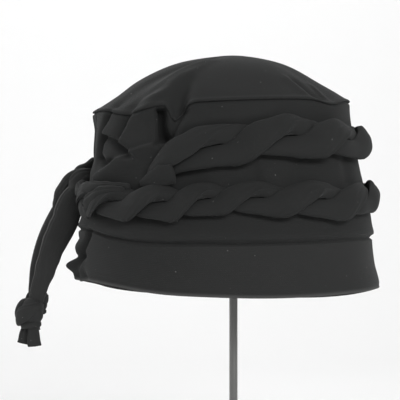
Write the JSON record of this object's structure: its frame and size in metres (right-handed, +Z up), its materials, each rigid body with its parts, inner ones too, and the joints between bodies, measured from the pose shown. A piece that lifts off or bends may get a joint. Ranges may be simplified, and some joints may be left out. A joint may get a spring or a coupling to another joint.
{
  "type": "chemo cap on a rod stand",
  "caption": "Soft jersey chemo cap with a domed crown, a smooth band, two twisted trims tied in a knot at the back with hanging tails, shown on a plain rod stand.",
  "frame": {"origin": "middle of the flat underside of the stand's base, under the rod", "axes": "+Z up along the rod, +X to the front of the cap, -X to the tied knot, -Y to the side that the picture shows"},
  "size_m": [0.2424, 0.1816, 0.294],
  "materials": {
    "jersey": "soft matte knit",
    "stand_plastic": "matte",
    "rod_metal": "satin",
    "base_metal": "satin"
  },
  "bodies": {
    "root": {"crown_top": "jersey", "crown_side": "jersey", "band": "jersey", "lower_twist_strand_a": "jersey", "lower_twist_strand_b": "jersey", "upper_twist_strand_a": "jersey", "upper_twist_strand_b": "jersey", "tie_knot": "jersey", "tail_near": "jersey", "tail_far": "jersey", "tail_knot_near": "jersey", "tail_knot_far": "jersey", "stand_top": "stand_plastic", "stand_rod": "rod_metal", "stand_base": "base_metal"}
  },
  "joints": []
}
